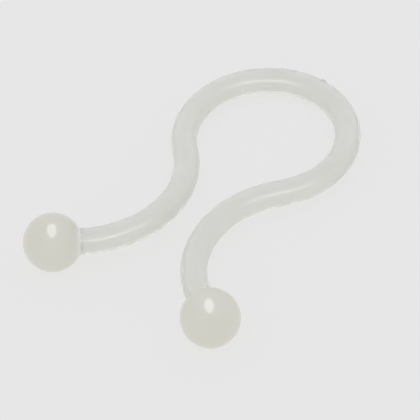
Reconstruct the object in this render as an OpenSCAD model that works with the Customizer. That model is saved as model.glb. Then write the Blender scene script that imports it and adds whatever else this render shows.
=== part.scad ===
// Self-holding cheek and lip retractor.
// One round springy rod is bent into an omega-shaped bow that lies in one plane, and a
// smooth ball is seated on each end of it. At rest the bow lies on a table,
// on its two balls and on the underside of its crown. +Y points towards the crown,
// +Z points up, and the origin is under the middle of the whole part.
//
// The real bow bends along its whole length. Here it is cut at six flex points, three on
// each side, and every cut is a shallow knuckle about an axis square to the bow's plane.

/* [Bow] */
// Thickness of the round rod
rod_d = 8; // [7:0.1:8.6]
// Radius of the crown arc, to the middle of the rod
crown_r = 25.3; // [24.5:0.1:30]
// Half of the angle that the crown arc turns through
crown_half = 131.3; // [128:0.1:132]
// Straight run at each waist, between the crown arc and the arm arc
waist_l = 4.2; // [3:0.1:5]
// Radius of each arm arc, to the middle of the rod
arm_r = 31.7; // [31:0.1:36]
// Angle that each arm arc turns through
arm_turn = 96.4; // [90:0.1:100]
// Straight tip from the end of the arm arc to the middle of the ball
tip_l = 8.5; // [8.5:0.1:12]

/* [Gate] */
// Width of the moulding gate's witness nub on the outside of the crown
gate_d = 1.6; // [1:0.1:2.4]
// Height of the nub above the rod
gate_h = 0.4; // [0.2:0.1:0.8]
// How far round the crown the nub sits, from its middle towards the right
gate_at = 6; // [0:1:12]
// How far round the rod the nub sits, from the outer side of the bow towards its top
gate_up = 40; // [0:1:60]

/* [Balls] */
// Diameter of each ball
ball_d = 18; // [16:0.1:18.5]
// How far the rod runs on past the middle of the ball
tip_past = 2; // [1:0.1:3]
// Width of the lock groove around the tip, inside the ball
groove_w = 2.4; // [1.6:0.1:3]
// Depth of the lock groove
groove_depth = 0.9; // [0.4:0.1:1.2]
// Gap between the rod and the ball that is moulded over it
seat_gap = 0.02; // [0.01:0.01:0.05]

/* [Flex points] */
// Angle around the crown, from its middle, to the first flex point
flex_1 = 28; // [24:1:32]
// Angle around the crown to the second flex point
flex_2 = 83; // [76:1:90]
// Angle along the arm arc, from the waist, to the third flex point
flex_3 = 18.5; // [17:0.5:24]
// Radius of the rounded nose at each flex point
nose_r = 3.7; // [3.4:0.05:3.7]
// Running gap around the nose
nose_gap = 0.05; // [0.03:0.01:0.08]
// Slit between the two shoulders at a flex point
slit = 0.45; // [0.4:0.05:0.7]

/* [Hidden] */
$fn = 96;

rod_r = rod_d / 2;
ball_r = ball_d / 2;
pocket_r = nose_r + nose_gap;

// The right half of the bow in its own plane. Headings turn clockwise round the crown,
// then back the other way round the arm.
function crown_at(a) = [crown_r * sin(a), crown_r * cos(a)];
waist_from = crown_at(crown_half);
waist_to = waist_from + waist_l * [cos(crown_half), -sin(crown_half)];
arm_c = waist_to + arm_r * [sin(crown_half), cos(crown_half)];
function arm_at(p) = arm_c + arm_r * [-sin(crown_half - p), -cos(crown_half - p)];
tip_heading = arm_turn - crown_half;
ball_c = arm_at(arm_turn) + tip_l * [cos(tip_heading), sin(tip_heading)];

// At rest the bow's plane dips towards the crown, so the balls and the crown touch the table.
tilt = asin((ball_r - rod_r) / (crown_r - ball_c[1]));
lift = rod_r + crown_r * sin(tilt);
y_low = ball_c[1] * cos(tilt) - ball_r;
nub_y = cos(gate_at) * cos(gate_up) * cos(tilt) + sin(gate_up) * sin(tilt);
nub_high = crown_r * cos(gate_at) * cos(tilt) + (rod_r + gate_h) * nub_y
    + gate_d / 2 * sqrt(1 - pow(nub_y, 2));
y_high = max(crown_r * cos(tilt) + rod_r, nub_high);
y_shift = -(y_low + y_high) / 2;

module at_rest() translate([0, y_shift, lift]) rotate([-tilt, 0, 0]) children();

// The left half is the right half mirrored.
module side(left) if (left) mirror([1, 0, 0]) children(); else children();

// Something placed at a point in the bow's plane, with its +X along the rod's heading.
module at(p, heading) translate([p[0], p[1], 0]) rotate([0, 0, heading]) children();

// A bent length of rod that leaves the origin along +X and turns towards +Y.
module bend(r, turn)
    translate([0, r, 0]) rotate([0, 0, 270])
    rotate_extrude(angle = turn, $fn = 128) translate([r, 0]) circle(r = rod_r);

// A length of the crown between two angles from its middle.
module crown_rod(a, b) at(crown_at(a), -a) mirror([0, 1, 0]) bend(crown_r, b - a);

// A post square to the bow's plane, at a point in it.
module post(p, r) translate([p[0], p[1], -rod_d]) cylinder(r = r, h = 2 * rod_d);

// What is cut off the start of a rod at a flex point, to leave its rounded nose.
module around_nose(p, heading) difference() {
    at(p, heading) translate([-9, -9, -9]) cube([9, 18, 18]);
    post(p, nose_r);
}

// Angles that a length along the rod spans.
function on_crown(l) = l / crown_r * 180 / PI;
function on_arm(l) = l / arm_r * 180 / PI;

// The end that goes into the ball, about the middle of the ball: a grooved plug along +X
// with a chamfered end.
module plug(grow, from)
    rotate([0, 90, 0]) rotate_extrude($fn = 96) polygon([
        [0, from], [rod_r + grow, from],
        [rod_r + grow, -2 - groove_w + grow], [rod_r + grow - groove_depth, -2 - groove_w + grow],
        [rod_r + grow - groove_depth, -2 - grow], [rod_r + grow, -2 - grow],
        [rod_r + grow, tip_past - 0.6], [rod_r + grow - 0.6, tip_past + grow], [0, tip_past + grow]]);

module crown() color([0.86, 0.87, 0.84]) at_rest() difference() {
    union() {
        crown_rod(-flex_1 + on_crown(slit), flex_1 - on_crown(slit));
        at(crown_at(gate_at), -gate_at) rotate([gate_up - 90, 0, 0])
            translate([0, 0, rod_r - 0.5]) cylinder(d = gate_d, h = 0.5 + gate_h, $fn = 32);
    }
    for (s = [-1, 1]) post(crown_at(s * flex_1), pocket_r);
}

module shoulder(left) color([0.85, 0.86, 0.83]) at_rest() side(left) difference() {
    crown_rod(flex_1 - on_crown(6), flex_2 - on_crown(slit));
    around_nose(crown_at(flex_1), -flex_1);
    post(crown_at(flex_2), pocket_r);
}

module waist(left) color([0.86, 0.87, 0.84]) at_rest() side(left) difference() {
    at(waist_from, -crown_half) {
        mirror([1, 0, 0]) mirror([0, 1, 0]) bend(crown_r, crown_half - flex_2 + on_crown(6));
        rotate([0, 90, 0]) cylinder(r = rod_r, h = waist_l);
        translate([waist_l, 0, 0]) bend(arm_r, flex_3 - on_arm(slit));
    }
    around_nose(crown_at(flex_2), -flex_2);
    post(arm_at(flex_3), pocket_r);
}

module arm(left) color([0.85, 0.86, 0.83]) at_rest() side(left) difference() {
    at(arm_at(arm_turn), tip_heading) {
        mirror([1, 0, 0]) bend(arm_r, arm_turn - flex_3 + on_arm(6));
        translate([tip_l, 0, 0]) plug(0, -tip_l);
    }
    around_nose(arm_at(flex_3), flex_3 - crown_half);
}

module ball(left) color([0.80, 0.80, 0.75]) at_rest() side(left)
    at(arm_at(arm_turn), tip_heading) translate([tip_l, 0, 0]) difference() {
        sphere(d = ball_d, $fn = 128);
        plug(seat_gap, -tip_l - rod_r);
    }

module left_shoulder() shoulder(true);
module right_shoulder() shoulder(false);
module left_waist() waist(true);
module right_waist() waist(false);
module left_arm() arm(true);
module right_arm() arm(false);
module left_ball() ball(true);
module right_ball() ball(false);

crown();
left_shoulder();
right_shoulder();
left_waist();
right_waist();
left_arm();
right_arm();
left_ball();
right_ball();
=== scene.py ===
import math

import bpy
import numpy as np
from mathutils import Matrix, Vector


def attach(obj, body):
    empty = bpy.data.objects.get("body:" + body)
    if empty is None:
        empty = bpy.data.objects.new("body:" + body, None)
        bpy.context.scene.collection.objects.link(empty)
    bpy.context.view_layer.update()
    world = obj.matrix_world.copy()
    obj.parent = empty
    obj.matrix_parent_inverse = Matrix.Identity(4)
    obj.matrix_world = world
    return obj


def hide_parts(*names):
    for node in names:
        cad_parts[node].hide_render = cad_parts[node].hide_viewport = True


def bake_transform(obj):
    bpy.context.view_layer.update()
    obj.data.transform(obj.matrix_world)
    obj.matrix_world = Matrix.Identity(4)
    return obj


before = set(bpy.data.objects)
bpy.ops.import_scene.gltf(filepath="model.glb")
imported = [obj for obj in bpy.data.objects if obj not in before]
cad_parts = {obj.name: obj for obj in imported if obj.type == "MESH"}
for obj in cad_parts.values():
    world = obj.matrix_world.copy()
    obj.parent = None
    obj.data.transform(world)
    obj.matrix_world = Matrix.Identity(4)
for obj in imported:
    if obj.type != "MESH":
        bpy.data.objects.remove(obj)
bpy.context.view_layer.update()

# ---------------------------------------------------------------- the bow's shape, in mm
ROD_R = 4.0
CROWN_R, CROWN_HALF = 25.3, 131.3
WAIST_L = 4.2
ARM_R, ARM_TURN = 31.7, 96.4
TIP_L = 8.5
BALL_R = 9.0
GATE_D, GATE_H, GATE_AT, GATE_UP = 1.6, 0.4, 6.0, 40.0
FLEX = (28.0, 83.0, 18.5)  # two angles round the crown, one along the arm


def rad(a):
    return math.radians(a)


L_CROWN = CROWN_R * rad(CROWN_HALF)
L_ARM = ARM_R * rad(ARM_TURN)
L_ALL = L_CROWN + WAIST_L + L_ARM + TIP_L

W0 = np.array([CROWN_R * math.sin(rad(CROWN_HALF)), CROWN_R * math.cos(rad(CROWN_HALF))])
W1 = W0 + WAIST_L * np.array([math.cos(rad(CROWN_HALF)), -math.sin(rad(CROWN_HALF))])
ARM_C = W1 + ARM_R * np.array([math.sin(rad(CROWN_HALF)), math.cos(rad(CROWN_HALF))])


def centre_line(s):
    """Point and heading of the right half's centre line, s mm from the middle of the crown."""
    if s <= L_CROWN:
        a = s / CROWN_R
        return np.array([CROWN_R * math.sin(a), CROWN_R * math.cos(a)]), -a
    h0 = -rad(CROWN_HALF)
    if s <= L_CROWN + WAIST_L:
        return W0 + (s - L_CROWN) * np.array([math.cos(h0), math.sin(h0)]), h0
    if s <= L_CROWN + WAIST_L + L_ARM:
        h = h0 + (s - L_CROWN - WAIST_L) / ARM_R
        return ARM_C + ARM_R * np.array([math.sin(h), -math.cos(h)]), h
    h = h0 + rad(ARM_TURN)
    end = ARM_C + ARM_R * np.array([math.sin(h), -math.cos(h)])
    return end + (s - L_CROWN - WAIST_L - L_ARM) * np.array([math.cos(h), math.sin(h)]), h


BALL_C, TIP_H = centre_line(L_ALL)
TILT = math.asin((BALL_R - ROD_R) / (CROWN_R - BALL_C[1]))
LIFT = ROD_R + CROWN_R * math.sin(TILT)
Y_LOW = BALL_C[1] * math.cos(TILT) - BALL_R
Y_HIGH = CROWN_R * math.cos(TILT) + ROD_R
Y_SHIFT = -(Y_LOW + Y_HIGH) / 2

CT, ST = math.cos(TILT), math.sin(TILT)


def to_row(p):
    """Points in the bow's own plane, in mm, to the row frame, in metres."""
    p = np.atleast_2d(np.asarray(p, float))
    z = p[:, 2] if p.shape[1] > 2 else np.zeros(len(p))
    return np.stack([p[:, 0], p[:, 1] * CT + z * ST + Y_SHIFT, LIFT - p[:, 1] * ST + z * CT], 1) / 1000.0


S_FLEX = (CROWN_R * rad(FLEX[0]), CROWN_R * rad(FLEX[1]), L_CROWN + WAIST_L + ARM_R * rad(FLEX[2]))
S_SEAM = ((S_FLEX[0] + S_FLEX[1]) / 2, (S_FLEX[1] + S_FLEX[2]) / 2)
# where the ball's collar meets the rod
COLLAR = 8.75
S_COLLAR = L_ALL - COLLAR


# ---------------------------------------------------------------- cross-section of the rod
def section():
    """Angles round the rod and how far the skin stands from the nominal radius, in mm.
    0 degrees is the outer side of the bow, in its plane; the mould parts there and opposite."""
    a = np.linspace(0, 2 * math.pi, 97)[:-1]
    ridge = []
    for c in (0.0, math.pi):
        for d in (-0.06, -0.035, -0.018, 0.0, 0.018, 0.035, 0.06):
            ridge.append((c + d) % (2 * math.pi))
    a = np.array(sorted([x for x in a if min(abs(math.remainder(x - c, 2 * math.pi)) for c in (0.0, math.pi)) > 0.062] + ridge))
    off = np.zeros(len(a))
    for c in (0.0, math.pi):
        d = np.abs(np.array([math.remainder(x - c, 2 * math.pi) for x in a]))
        off = np.maximum(off, 0.011 * (0.5 + 0.5 * np.cos(np.pi * np.clip(d / 0.06, 0, 1))))
    return a, off


SEC_A, SEC_OFF = section()


def rings(s0, s1, step=0.5):
    """Where the rings go: every step, and much closer beside each end, so that the two
    skins that meet there shade alike."""
    n = max(2, int(round((s1 - s0) / step)))
    mid = list(np.linspace(s0, s1, n + 1))
    extra = [s0 + 0.02, s0 + 0.08, s0 + 0.2, s1 - 0.2, s1 - 0.08, s1 - 0.02]
    return np.array(sorted(set(mid + extra)))


def skin(name, s0, s1, left):
    ss = rings(s0, s1)
    pts = []
    for s in ss:
        p, h = centre_line(s)
        nrm = np.array([-math.sin(h), math.cos(h)])  # left of the heading: the outer side of the crown
        r = ROD_R + SEC_OFF * min(1.0, max(0.0, S_COLLAR - 0.3 - s) / 1.2)
        ring = np.zeros((len(SEC_A), 3))
        ring[:, 0] = p[0] + nrm[0] * r * np.cos(SEC_A)
        ring[:, 1] = p[1] + nrm[1] * r * np.cos(SEC_A)
        ring[:, 2] = r * np.sin(SEC_A)
        pts.append(ring)
    v = np.concatenate(pts)
    if left:
        v[:, 0] *= -1
    k, n = len(SEC_A), len(ss)
    faces = []
    for i in range(n - 1):
        for j in range(k):
            a, b = i * k + j, i * k + (j + 1) % k
            q = (a, b, b + k, a + k)
            faces.append(q[::-1] if left else q)
    return mesh_object(name, to_row(v), faces)


def mesh_object(name, verts, faces, smooth=True):
    me = bpy.data.meshes.new(name)
    me.from_pydata([tuple(x) for x in verts], [], faces)
    me.validate()
    me.update()
    if smooth:
        me.polygons.foreach_set("use_smooth", [True] * len(me.polygons))
    ob = bpy.data.objects.new(name, me)
    bpy.context.scene.collection.objects.link(ob)
    return ob


# ---------------------------------------------------------------- the balls
def ball_profile():
    """(r, z) from the far pole to the collar; z runs along the tip, outwards from the bow."""
    pr = []
    f = 1.2  # fillet radius where the ball runs on to the rod
    # fillet circle outside both: centre at r = ROD_R + f, distance from the ball's middle = BALL_R + f
    rc = ROD_R + f
    zc = -math.sqrt((BALL_R + f) ** 2 - rc**2)
    touch = math.atan2(rc, -zc)  # angle from the -z axis to the point of tangency
    n = 88
    for i in [0] + list(range(2, n + 1)):
        t = (math.pi - touch) * i / n
        pr.append((BALL_R * math.sin(t), BALL_R * math.cos(t)))
    a0 = math.atan2(math.cos(math.pi - touch), math.sin(math.pi - touch))
    start = math.atan2(-math.cos(math.pi - touch), -math.sin(math.pi - touch))
    # from the tangent point on the sphere round to straight down at the rod (pointing -r)
    end = math.pi
    if start < 0:
        start += 2 * math.pi
    m = 12
    for i in range(1, m + 1):
        t = start + (end - start) * i / m
        pr.append((rc + f * math.cos(t), zc + f * math.sin(t)))
    return pr, -zc


PROFILE, COLLAR_Z = ball_profile()
S_COLLAR = L_ALL - COLLAR_Z


def turned(name, profile, centre, axis, side_dir, left, seg=96, cap=False):
    """A surface of revolution: (r, z) points from the pole outwards, z along the axis from the
    centre. axis and side_dir are square to each other. cap closes the last ring with a point on
    the axis."""
    c, t, nrm = (np.array([q[0], q[1], q[2] if len(q) > 2 else 0.0]) for q in (centre, axis, side_dir))
    up = np.cross(t, nrm)
    v = [c + t * profile[0][1]]
    for r, z in profile[1:]:
        for j in range(seg):
            a = 2 * math.pi * j / seg
            v.append(c + t * z + nrm * r * math.cos(a) + up * r * math.sin(a))
    v = np.array(v)
    if left:
        v[:, 0] *= -1
    faces = []
    for j in range(seg):
        q = (0, 1 + (j + 1) % seg, 1 + j)
        faces.append(q if left else q[::-1])
    for i in range(len(profile) - 2):
        for j in range(seg):
            a, b = 1 + i * seg + j, 1 + i * seg + (j + 1) % seg
            q = (a, b, b + seg, a + seg)
            faces.append(q if left else q[::-1])
    if cap:
        last = c + t * profile[-1][1]
        v = np.vstack([v, [last * np.array([-1, 1, 1]) if left else last]])
        base = 1 + (len(profile) - 2) * seg
        for j in range(seg):
            q = (base + j, base + (j + 1) % seg, len(v) - 1)
            faces.append(q if left else q[::-1])
    return mesh_object(name, to_row(v), faces)


def ball(name, left):
    c, h = centre_line(L_ALL)
    return turned(name, PROFILE, c, (math.cos(h), math.sin(h)), (-math.sin(h), math.cos(h)), left, cap=True)


def gate_nub(name):
    """What is left of the moulding gate: a trimmed stub, a little dished, on the crown's outer side."""
    r, top, foot = GATE_D / 2, GATE_H, -0.25
    pr = [(0.0, top - 0.09)]
    for f_, d_ in ((0.15, 0.088), (0.30, 0.080), (0.45, 0.062), (0.60, 0.034), (0.70, 0.012), (0.76, 0.0)):
        pr.append((r * f_, top - d_))
    for i in range(1, 7):
        a = math.pi / 2 * i / 6
        pr.append((r * 0.80 + r * 0.17 * math.sin(a), top - 0.13 + 0.13 * math.cos(a)))
    pr += [(r * 0.975, 0.16), (r * 0.98, 0.08), (r, 0.0), (r, foot / 2), (r, foot)]
    c, s = math.cos(rad(GATE_UP)), math.sin(rad(GATE_UP))
    e = np.array([math.sin(rad(GATE_AT)), math.cos(rad(GATE_AT)), 0.0])  # outwards, in the bow's plane
    axis = e * c + np.array([0.0, 0.0, s])
    return turned(name, pr, e * CROWN_R + axis * ROD_R, axis, (-e[1], e[0], 0.0), False, seg=48, cap=True)


# ---------------------------------------------------------------- materials
def node(nt, kind, **vals):
    n = nt.nodes.new(kind)
    for k, v in vals.items():
        setattr(n, k, v)
    return n


def noise(nt, coord, scale, detail, rough=0.5):
    """A noise texture in object space; scale is in features per metre."""
    n = node(nt, "ShaderNodeTexNoise")
    n.inputs["Scale"].default_value = scale
    n.inputs["Detail"].default_value = detail
    n.inputs["Roughness"].default_value = rough
    nt.links.new(coord, n.inputs["Vector"])
    return n.outputs["Fac"]


def remap(nt, fac, lo, hi, a=0.35, b=0.65):
    n = node(nt, "ShaderNodeMapRange")
    n.inputs["From Min"].default_value, n.inputs["From Max"].default_value = a, b
    n.inputs["To Min"].default_value, n.inputs["To Max"].default_value = lo, hi
    nt.links.new(fac, n.inputs["Value"])
    return n.outputs["Result"]


def mix_colour(nt, fac, c1, c2):
    n = node(nt, "ShaderNodeMix", data_type="RGBA")
    n.inputs[6].default_value = (*c1, 1)
    n.inputs[7].default_value = (*c2, 1)
    nt.links.new(fac, n.inputs[0])
    return n.outputs[2]


def plastic(name, cols, trans, rough, coat, coat_rough, bumps, painted_collar_light=None):
    """Milky moulded plastic. Part of the light goes through it, scattered, and the rest comes
    back as a soft body colour; cloudiness, polish and a faint unevenness vary over it. With the
    last argument the colour is also painted lighter towards the bow: painted light on a ball's
    shaded collar and fillet."""
    m = bpy.data.materials.new(name)
    m.use_nodes = True
    nt = m.node_tree
    nt.nodes.clear()
    out = node(nt, "ShaderNodeOutputMaterial")
    b = node(nt, "ShaderNodeBsdfPrincipled")
    co = node(nt, "ShaderNodeTexCoord").outputs["Object"]
    cloud = noise(nt, co, 95.0, 3.0, 0.55)
    body = mix_colour(nt, remap(nt, cloud, 0.0, 1.0), cols[0], cols[1])
    if painted_collar_light is not None:  # painted light: the ball's colour is made lighter towards the bow, so its shaded collar and fillet look lit
        centre, axis, z0, z1, colour = painted_collar_light
        mag = node(nt, "ShaderNodeVectorMath", operation="ABSOLUTE")
        nt.links.new(co, mag.inputs[0])
        off = node(nt, "ShaderNodeVectorMath", operation="SUBTRACT")
        nt.links.new(mag.outputs[0], off.inputs[0])
        off.inputs[1].default_value = centre
        dot = node(nt, "ShaderNodeVectorMath", operation="DOT_PRODUCT")
        nt.links.new(off.outputs[0], dot.inputs[0])
        dot.inputs[1].default_value = axis
        collar_light_mask = node(nt, "ShaderNodeMapRange", interpolation_type="SMOOTHSTEP")
        collar_light_mask.inputs["From Min"].default_value, collar_light_mask.inputs["From Max"].default_value = z0, z1
        nt.links.new(dot.outputs["Value"], collar_light_mask.inputs["Value"])
        mx = node(nt, "ShaderNodeMix", data_type="RGBA")
        nt.links.new(collar_light_mask.outputs["Result"], mx.inputs["Factor"])
        nt.links.new(body, mx.inputs[6])
        mx.inputs[7].default_value = (*colour, 1)
        body = mx.outputs[2]
    nt.links.new(body, b.inputs["Base Color"])
    polish = noise(nt, co, 420.0, 2.0)
    nt.links.new(remap(nt, polish, rough[0], rough[1]), b.inputs["Roughness"])
    if trans is not None:
        milk = noise(nt, co, 160.0, 2.0)
        nt.links.new(remap(nt, milk, trans[0], trans[1]), b.inputs["Transmission Weight"])
    b.inputs["IOR"].default_value = 1.49
    b.inputs["Coat Weight"].default_value = coat
    b.inputs["Coat Roughness"].default_value = coat_rough
    b.inputs["Coat IOR"].default_value = 1.49
    last = None
    for scale, dist in bumps:
        bp = node(nt, "ShaderNodeBump")
        bp.inputs["Strength"].default_value = 1.0
        bp.inputs["Distance"].default_value = dist
        nt.links.new(noise(nt, co, scale, 2.0), bp.inputs["Height"])
        if last is not None:
            nt.links.new(last, bp.inputs["Normal"])
        last = bp.outputs["Normal"]
    if last is not None:
        nt.links.new(last, b.inputs["Normal"])
        nt.links.new(last, b.inputs["Coat Normal"])
    nt.links.new(b.outputs[0], out.inputs["Surface"])
    return m


BOW_MAT = plastic("bow_plastic", ((0.905, 0.903, 0.840), (0.925, 0.923, 0.863)), (0.55, 0.62), (0.30, 0.36),
                  0.8, 0.10, ((210.0, 0.000055), (2600.0, 0.0000018)))
# the balls' middle and the way towards the bow, for the painted light on the collars
BALL_ROW = to_row(BALL_C)[0]
NECK_ROW = to_row(BALL_C - np.array([math.cos(TIP_H), math.sin(TIP_H)]))[0]
AWAY = (NECK_ROW - BALL_ROW) * 1000.0  # from the right ball's middle towards the bow, of length 1
BALL_MAT = plastic("ball_plastic", ((0.770, 0.752, 0.645), (0.790, 0.774, 0.672)), None, (0.55, 0.66),
                   1.0, 0.115, ((170.0, 0.00002), (2600.0, 0.0000015)),
                   painted_collar_light=((BALL_ROW[0], -BALL_ROW[1], BALL_ROW[2]), (AWAY[0], -AWAY[1], AWAY[2]),
                         0.0066, 0.0086, (0.865, 0.860, 0.795)))
NUB_MAT = plastic("gate_plastic", ((0.790, 0.790, 0.730), (0.815, 0.815, 0.760)), None, (0.45, 0.55),
                  0.6, 0.15, ((420.0, 0.00001), (2600.0, 0.0000015)))

# ---------------------------------------------------------------- pieces
BOW = bpy.data.collections.new("bow_pieces")
BALLS = bpy.data.collections.new("ball_pieces")
REACH = [(9.0, 9.0), (9.5, 13.0), (13.0, 18.0)]
for left in (True, False):
    side = "left" if left else "right"
    chain = ["crown", side + "_shoulder", side + "_waist", side + "_arm"]
    ends = [0.0, S_SEAM[0], S_SEAM[1], S_COLLAR]
    names = ["crown_to_shoulder", "shoulder_to_waist", "waist_to_arm"]
    for i in range(3):
        ob = skin(f"{side}_{names[i]}", ends[i], ends[i + 1], left)
        ob.data.materials.append(BOW_MAT)
        p, h = centre_line(S_FLEX[i])
        d = np.array([math.cos(h), math.sin(h)])
        a, b = p - d * REACH[i][0], p + d * REACH[i][1]
        if left:
            a, b = a * [-1, 1], b * [-1, 1]
        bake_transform(ob)
        BOW.objects.link(ob)
        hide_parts(*([chain[1]] if i == 0 else [chain[2]] if i == 1 else [chain[3]]))
    bo = ball(f"{side}_ball_skin", left)
    bo.data.materials.append(BALL_MAT)
    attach(bo, side + "_arm")
    BALLS.objects.link(bo)
    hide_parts(side + "_ball")
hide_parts("crown", "right_shoulder")
nub = gate_nub("gate_nub")
nub.data.materials.append(NUB_MAT)
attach(nub, "crown")
BOW.objects.link(nub)

# ---------------------------------------------------------------- floor, light and camera
scene = bpy.context.scene
scene.view_settings.view_transform = "Standard"

FLOOR_ALBEDO, FLOOR_GLOW = 0.16, 0.677
BACK_L = 1.9
SKY = ((-0.10, 0.78), (0.30, 0.80), (0.75, 0.80), (1.0, 0.80))
SKY_TINT = (0.982, 1.0, 1.04)  # (sine of elevation, radiance)

fm = bpy.data.materials.new("pale_floor")
fm.use_nodes = True
fb = fm.node_tree.nodes["Principled BSDF"]
fb.inputs["Base Color"].default_value = (FLOOR_ALBEDO, FLOOR_ALBEDO, FLOOR_ALBEDO, 1)
fb.inputs["Roughness"].default_value = 0.9
fb.inputs["Specular IOR Level"].default_value = 0.0
fb.inputs["Emission Color"].default_value = (1.0, 0.9942, 0.9895, 1)
fb.inputs["Emission Strength"].default_value = FLOOR_GLOW
floor = mesh_object("floor", [(-3, -3, 0), (3, -3, 0), (3, 3, 0), (-3, 3, 0)], [(0, 1, 2, 3)], smooth=False)
floor.data.materials.append(fm)

w = bpy.data.worlds.new("studio")
scene.world = w
w.use_nodes = True
wt = w.node_tree
bg = wt.nodes["Background"]
gen = node(wt, "ShaderNodeTexCoord").outputs["Generated"]
sep = node(wt, "ShaderNodeSeparateXYZ")
wt.links.new(gen, sep.inputs[0])
mr = node(wt, "ShaderNodeMapRange")
mr.inputs["From Min"].default_value, mr.inputs["From Max"].default_value = -0.1, 1.0
wt.links.new(sep.outputs["Z"], mr.inputs["Value"])
ramp = node(wt, "ShaderNodeValToRGB")
cr = ramp.color_ramp
for i, (z, v) in enumerate(SKY):
    pos_ = (z + 0.1) / 1.1
    e = cr.elements[0] if i == 0 else cr.elements[-1] if i == len(SKY) - 1 else cr.elements.new(pos_)
    e.position = pos_
    e.color = (v * SKY_TINT[0], v * SKY_TINT[1], v * SKY_TINT[2], 1)
wt.links.new(mr.outputs["Result"], ramp.inputs["Fac"])
wt.links.new(ramp.outputs["Color"], bg.inputs["Color"])
bg.inputs["Strength"].default_value = 1.0


def softbox(name, az, el, dist, w_deg, h_deg, radiance, diffuse=True, glossy=True, transmission=True, only=None, shape="RECTANGLE"):
    """A rectangle of light that faces the object, as wide and as high as the angles say."""
    a, e = rad(az), rad(el)
    d = Vector((math.sin(a) * math.cos(e), -math.cos(a) * math.cos(e), math.sin(e)))
    la = bpy.data.lights.new(name, "AREA")
    la.shape = shape
    la.size = 2 * dist * math.tan(rad(w_deg / 2))
    la.size_y = 2 * dist * math.tan(rad(h_deg / 2))
    la.energy = radiance * math.pi * la.size * la.size_y * (math.pi / 4 if shape == "ELLIPSE" else 1.0)
    ob = bpy.data.objects.new(name, la)
    scene.collection.objects.link(ob)
    x = Vector((math.cos(a), math.sin(a), 0))
    y = d.cross(x)
    ob.matrix_world = Matrix.Translation(d * dist) @ Matrix((x, y, d)).transposed().to_4x4()
    ob.visible_camera = False
    ob.visible_diffuse = diffuse
    ob.visible_glossy = glossy
    ob.visible_transmission = transmission
    if only is not None:
        ob.light_linking.receiver_collection = only
    return ob


softbox("overhead", 39.83, 93.0, 0.7, 32.0, 60.0, 3.6, diffuse=False, transmission=False, only=BALLS, shape="ELLIPSE")
for k_ in (-1, 0, 1):
    softbox(f"strip_{k_ + 1}", 39.83 + 40 * k_, 48.0, 1.2, 37.0, 14.0, 2.0, diffuse=False, transmission=False, only=BOW)
softbox("backdrop", 219.83, 17.0, 1.2, 100.0, 28.0, BACK_L, diffuse=False, glossy=False, only=BOW)

AZ, EL, ROLL = rad(39.8340), rad(47.6659), rad(-6.9705)
OX, OY, SC, K = 3.3178, -2.9685, 3.26386, 0.0011049
DIST = 1.0 / K / 1000.0
back = Vector((math.sin(AZ) * math.cos(EL), -math.cos(AZ) * math.cos(EL), math.sin(EL)))
fwd = -back
right = Vector((math.cos(AZ), math.sin(AZ), 0))
up = right.cross(fwd)
r2 = right * math.cos(ROLL) + up * math.sin(ROLL)
u2 = -right * math.sin(ROLL) + up * math.cos(ROLL)
cd = bpy.data.cameras.new("camera")
cd.sensor_width = 36.0
cd.lens = SC / K / 420 * 36.0
cd.clip_start, cd.clip_end = 0.05, 20
cam = bpy.data.objects.new("camera", cd)
scene.collection.objects.link(cam)
pos = back * DIST - r2 * (OX / 1000.0) + u2 * (OY / 1000.0) + Vector((0, (Y_SHIFT - 25.42019) / 1000.0, 0))
rot = Matrix((r2, u2, back)).transposed()
cam.matrix_world = Matrix.Translation(pos) @ rot.to_4x4()
scene.camera = cam
